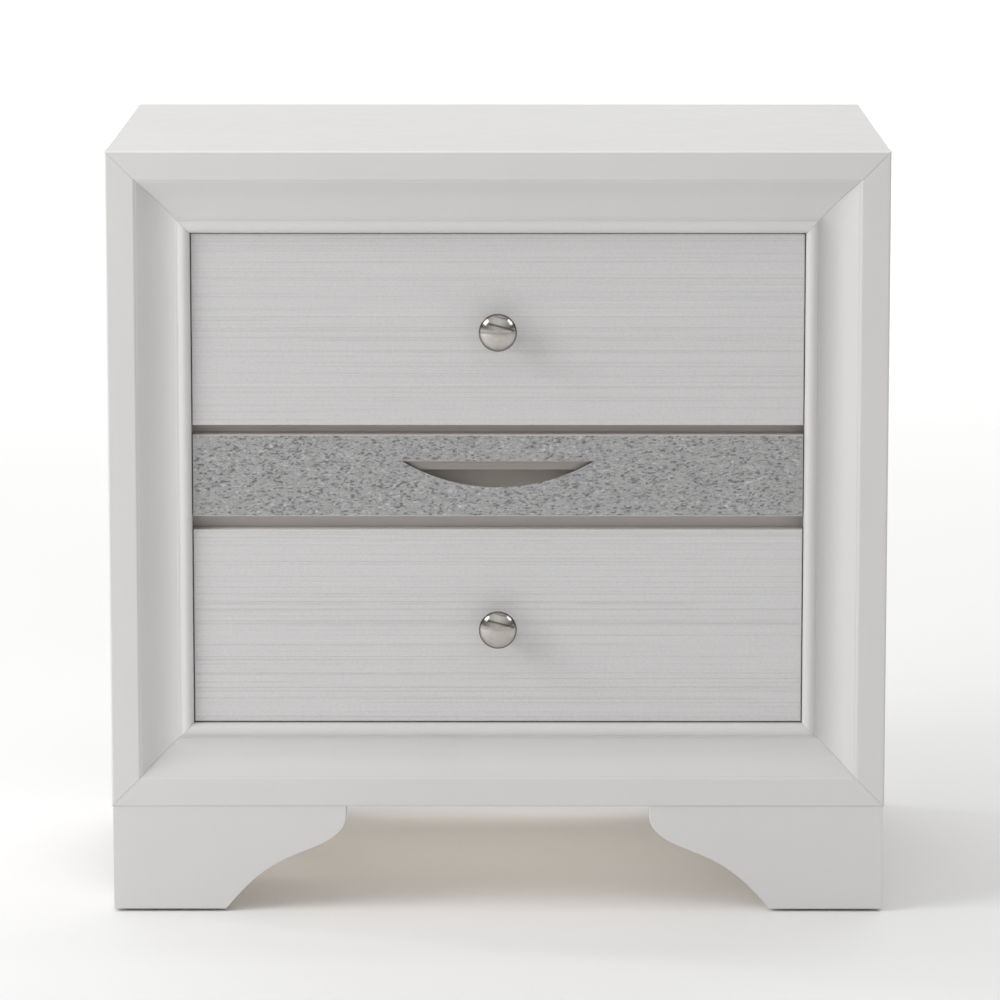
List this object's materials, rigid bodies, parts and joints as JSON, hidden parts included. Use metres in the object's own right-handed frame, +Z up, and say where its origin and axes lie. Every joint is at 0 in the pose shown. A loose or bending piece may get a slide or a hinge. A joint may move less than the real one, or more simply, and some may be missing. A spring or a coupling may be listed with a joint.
{
  "type": "nightstand",
  "caption": "White lacquered nightstand with a mitred moulding frame, bracket feet, combed drawer fronts with round knobs, and a slim glittering jewel drawer with a crescent finger pull.",
  "frame": {"origin": "on the floor, midway between the sides and midway between the knobs' tips and the back", "axes": "+X across the width, to the right of a person who faces the drawers; -Y out of the front, the way the drawers open; +Z up"},
  "size_m": [0.61, 0.4168, 0.604],
  "materials": {
    "white_lacquer": "satin white lacquer over wood and board",
    "combed_laminate": "pale grey-white laminate with fine combed lines, satin",
    "glitter_foil": "silver crushed-glitter foil over board",
    "brushed_nickel": "satin nickel plate",
    "zinc_steel": "bright zinc plate",
    "box_birch": "clear sealed pale plywood",
    "grey_plastic": "moulded nylon"
  },
  "bodies": {
    "case": {"top_panel": "white_lacquer", "side_panel_left": "white_lacquer", "side_panel_right": "white_lacquer", "back_panel": "white_lacquer", "bottom_panel": "box_birch", "back_rail": "box_birch", "frame_rail_top": "white_lacquer", "frame_rail_bottom": "white_lacquer", "frame_stile_left": "white_lacquer", "frame_stile_right": "white_lacquer", "divider_rail_upper": "white_lacquer", "divider_rail_lower": "white_lacquer", "glide_rail_top": "zinc_steel", "glide_rail_jewel": "zinc_steel", "glide_rail_bottom": "zinc_steel", "glide_socket_top": "grey_plastic", "glide_socket_jewel": "grey_plastic", "foot_front_left_face": "white_lacquer", "foot_front_left_side": "white_lacquer", "foot_front_left_post": "box_birch", "foot_front_left_pad": "grey_plastic", "foot_front_right_face": "white_lacquer", "foot_front_right_side": "white_lacquer", "foot_front_right_post": "box_birch", "foot_front_right_pad": "grey_plastic", "foot_rear_left_face": "white_lacquer", "foot_rear_left_side": "white_lacquer", "foot_rear_left_post": "box_birch", "foot_rear_left_pad": "grey_plastic", "foot_rear_right_face": "white_lacquer", "foot_rear_right_side": "white_lacquer", "foot_rear_right_post": "box_birch", "foot_rear_right_pad": "grey_plastic"},
    "drawer_top": {"drawer_top_front": "combed_laminate", "drawer_top_box_front": "box_birch", "drawer_top_side_left": "box_birch", "drawer_top_side_right": "box_birch", "drawer_top_back": "box_birch", "drawer_top_bottom": "box_birch", "glide_runner_top": "zinc_steel", "knob_top": "brushed_nickel", "knob_screw_top": "zinc_steel"},
    "drawer_jewel": {"drawer_jewel_front": "glitter_foil", "drawer_jewel_box_front": "box_birch", "drawer_jewel_side_left": "box_birch", "drawer_jewel_side_right": "box_birch", "drawer_jewel_back": "box_birch", "drawer_jewel_bottom": "box_birch", "glide_runner_jewel": "zinc_steel"},
    "drawer_bottom": {"drawer_bottom_front": "combed_laminate", "drawer_bottom_box_front": "box_birch", "drawer_bottom_side_left": "box_birch", "drawer_bottom_side_right": "box_birch", "drawer_bottom_back": "box_birch", "drawer_bottom_bottom": "box_birch", "glide_runner_bottom": "zinc_steel", "knob_bottom": "brushed_nickel", "knob_screw_bottom": "zinc_steel"}
  },
  "joints": [
    {"name": "drawer_top_slide", "type": "slide", "parent": "case", "child": "drawer_top", "axis": [0, -1, 0], "range_m": [0, 0.26]},
    {"name": "drawer_jewel_slide", "type": "slide", "parent": "case", "child": "drawer_jewel", "axis": [0, -1, 0], "range_m": [0, 0.26]},
    {"name": "drawer_bottom_slide", "type": "slide", "parent": "case", "child": "drawer_bottom", "axis": [0, -1, 0], "range_m": [0, 0.26]}
  ]
}
